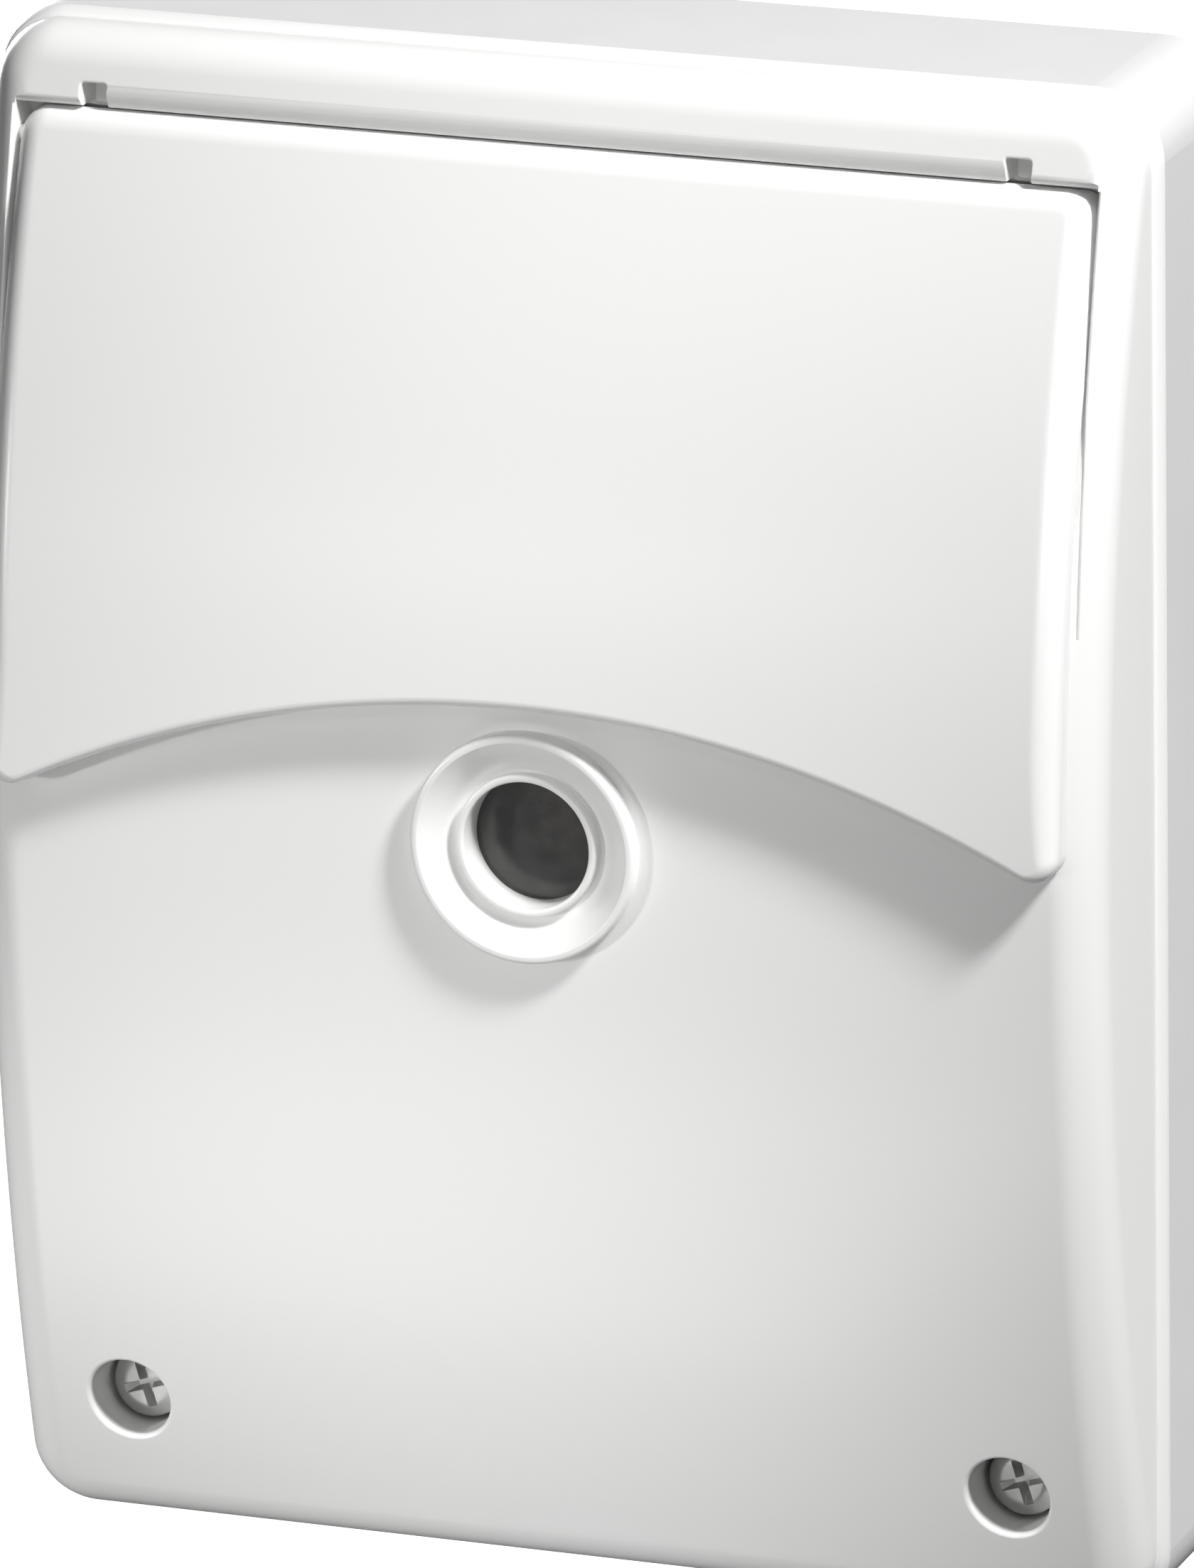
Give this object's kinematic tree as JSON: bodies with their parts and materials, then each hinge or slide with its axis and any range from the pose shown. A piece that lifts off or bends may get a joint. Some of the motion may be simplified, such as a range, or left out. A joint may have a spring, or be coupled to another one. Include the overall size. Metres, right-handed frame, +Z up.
{
  "type": "twilight switch",
  "caption": "Wall-mounted twilight switch: boxed base, domed cover with a light sensor ring, and a hinged flap over a brightness dial and a mode selector.",
  "frame": {"origin": "middle of the flat back face, where the switch meets the wall", "axes": "+Z up along the case's height, +X to the right seen from the front, -Y out of the wall"},
  "size_m": [0.085, 0.0296, 0.11],
  "materials": {
    "cover_plastic": "moulded white plastic with a satin gloss",
    "base_plastic": "moulded pale grey plastic, fine satin",
    "seal_rubber": "soft matt rubber",
    "grommet_rubber": "soft matt rubber",
    "ring_plastic": "moulded white plastic, smooth",
    "clear_plastic": "smoked clear plastic window",
    "black_plastic": "matt black plastic",
    "cell_face": "coated light cell under clear resin",
    "dial_plastic": "moulded dark grey plastic",
    "control_body": "moulded dark plastic",
    "selector_plastic": "moulded red plastic",
    "lamp_resin": "tinted resin",
    "guide_plastic": "clear moulded plastic",
    "board_laminate": "lacquered glass fibre laminate",
    "zinc_steel": "zinc-plated steel",
    "relay_plastic": "moulded blue plastic",
    "film_resin": "yellow moulded box",
    "can_aluminium": "aluminium can with a shrunk sleeve",
    "disc_resin": "dipped blue resin",
    "fuse_metal": "plated brass caps on a ceramic tube",
    "epoxy_black": "matt black epoxy",
    "resistor_lacquer": "cement and lacquer",
    "block_plastic": "moulded light grey plastic",
    "clamp_brass": "nickel-plated brass"
  },
  "bodies": {
    "housing": {"base_housing": "base_plastic", "cover_seal": "seal_rubber", "cable_grommets": "grommet_rubber", "front_cover": "cover_plastic", "sensor_bezel": "ring_plastic", "sensor_window": "clear_plastic", "sensor_sleeve": "black_plastic", "photoresistor": "cell_face", "potentiometer_body": "control_body", "selector_switch_body": "control_body", "status_lamp": "lamp_resin", "lamp_light_guide": "guide_plastic", "circuit_board": "board_laminate", "board_screws": "zinc_steel", "cover_screws": "zinc_steel", "screw_seals": "seal_rubber", "relay": "relay_plastic", "film_capacitor": "film_resin", "electrolytic_capacitor": "can_aluminium", "varistor": "disc_resin", "fuse": "fuse_metal", "bridge_rectifier": "epoxy_black", "series_resistor": "resistor_lacquer", "control_chip": "epoxy_black", "terminal_block": "block_plastic", "terminal_clamps": "clamp_brass", "terminal_screws": "zinc_steel", "terminal_tails": "clamp_brass"},
    "flap": {"setting_flap": "cover_plastic"},
    "dial": {"lux_dial": "dial_plastic"},
    "selector": {"mode_selector": "selector_plastic"}
  },
  "joints": [
    {"name": "flap_hinge", "type": "hinge", "parent": "housing", "child": "flap", "pos_m": [0, -0.01894, 0.04675], "axis": [-1, 0, 0], "range_deg": [0, 85]},
    {"name": "lux_dial_turn", "type": "hinge", "parent": "housing", "child": "dial", "pos_m": [-0.015, -0.021, 0.026], "axis": [0, -1, 0], "range_deg": [-135, 135]},
    {"name": "selector_slide", "type": "slide", "parent": "housing", "child": "selector", "axis": [1, 0, 0], "range_m": [-0.004, 0.004]}
  ]
}
